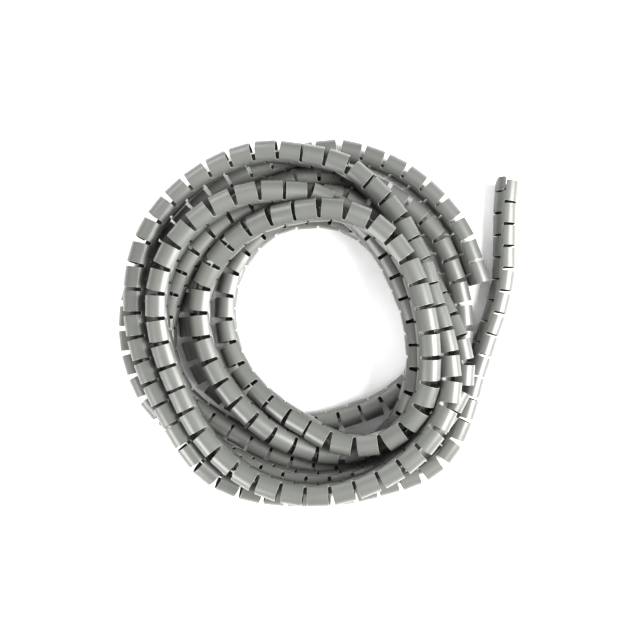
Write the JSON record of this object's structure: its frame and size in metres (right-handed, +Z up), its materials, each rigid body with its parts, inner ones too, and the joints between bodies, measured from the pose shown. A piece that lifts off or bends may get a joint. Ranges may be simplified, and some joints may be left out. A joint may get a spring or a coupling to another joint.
{
  "type": "slotted cable wrap",
  "caption": "Flexible grey plastic cable wrap with slots cut from both sides, lying as a loose coil with one free tail.",
  "frame": {"origin": "under the middle of the coil's bounding box, on the floor it lies on", "axes": "+Z up out of the floor, +X towards the side where the tail leaves the coil, +Y the way the tail's free end points"},
  "size_m": [0.332, 0.3054, 0.0635],
  "materials": {
    "plastic": "satin mid grey moulded plastic"
  },
  "bodies": {
    "root": {"free_end": "plastic", "turn_1": "plastic", "turn_2": "plastic", "turn_3": "plastic", "turn_4": "plastic", "turn_5": "plastic", "turn_6": "plastic", "turn_7": "plastic", "tail": "plastic"}
  },
  "joints": []
}
